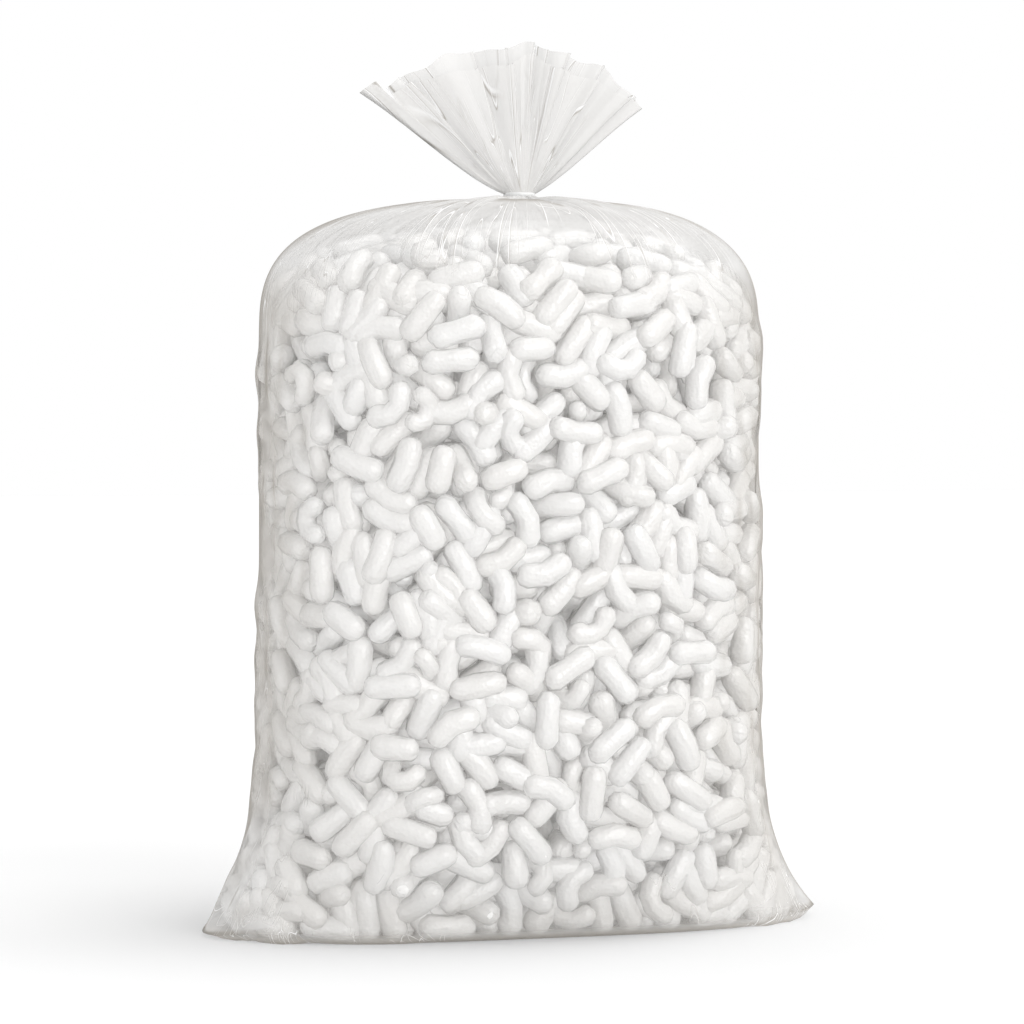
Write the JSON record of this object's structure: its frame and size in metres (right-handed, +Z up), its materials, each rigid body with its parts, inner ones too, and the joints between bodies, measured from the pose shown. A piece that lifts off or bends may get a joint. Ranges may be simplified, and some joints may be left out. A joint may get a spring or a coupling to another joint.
{
  "type": "packing peanut bag",
  "caption": "Tall clear film bag full of white foam packing peanuts, tied at the neck under a flat pleated fan of film, standing on its bottom seam.",
  "frame": {"origin": "on the floor, under the middle of the bag's overall box", "axes": "+Z up, +X to the right and -Y to the front, so the two corner ears point along +X and -X"},
  "size_m": [0.483, 0.2792, 0.6735],
  "materials": {
    "clear_film": "thin clear polyethylene film, glossy, slightly grey where it is folded",
    "white_foam": "closed skin of expanded foam, soft pearly sheen",
    "tie_band": "translucent white plastic band"
  },
  "bodies": {
    "root": {"bag_film": "clear_film", "neck_tie": "tie_band", "peanut_heap": "white_foam", "loose_peanut_01": "white_foam", "loose_peanut_02": "white_foam", "loose_peanut_03": "white_foam", "loose_peanut_04": "white_foam", "loose_peanut_05": "white_foam", "loose_peanut_06": "white_foam", "loose_peanut_07": "white_foam", "loose_peanut_08": "white_foam", "loose_peanut_09": "white_foam", "loose_peanut_10": "white_foam", "loose_peanut_11": "white_foam", "loose_peanut_12": "white_foam", "loose_peanut_13": "white_foam", "loose_peanut_14": "white_foam", "loose_peanut_15": "white_foam", "loose_peanut_16": "white_foam", "loose_peanut_17": "white_foam", "loose_peanut_18": "white_foam", "loose_peanut_19": "white_foam", "loose_peanut_20": "white_foam", "loose_peanut_21": "white_foam", "loose_peanut_22": "white_foam", "loose_peanut_23": "white_foam", "loose_peanut_24": "white_foam", "loose_peanut_25": "white_foam", "loose_peanut_26": "white_foam", "loose_peanut_27": "white_foam", "loose_peanut_28": "white_foam", "loose_peanut_29": "white_foam", "loose_peanut_30": "white_foam"}
  },
  "joints": []
}
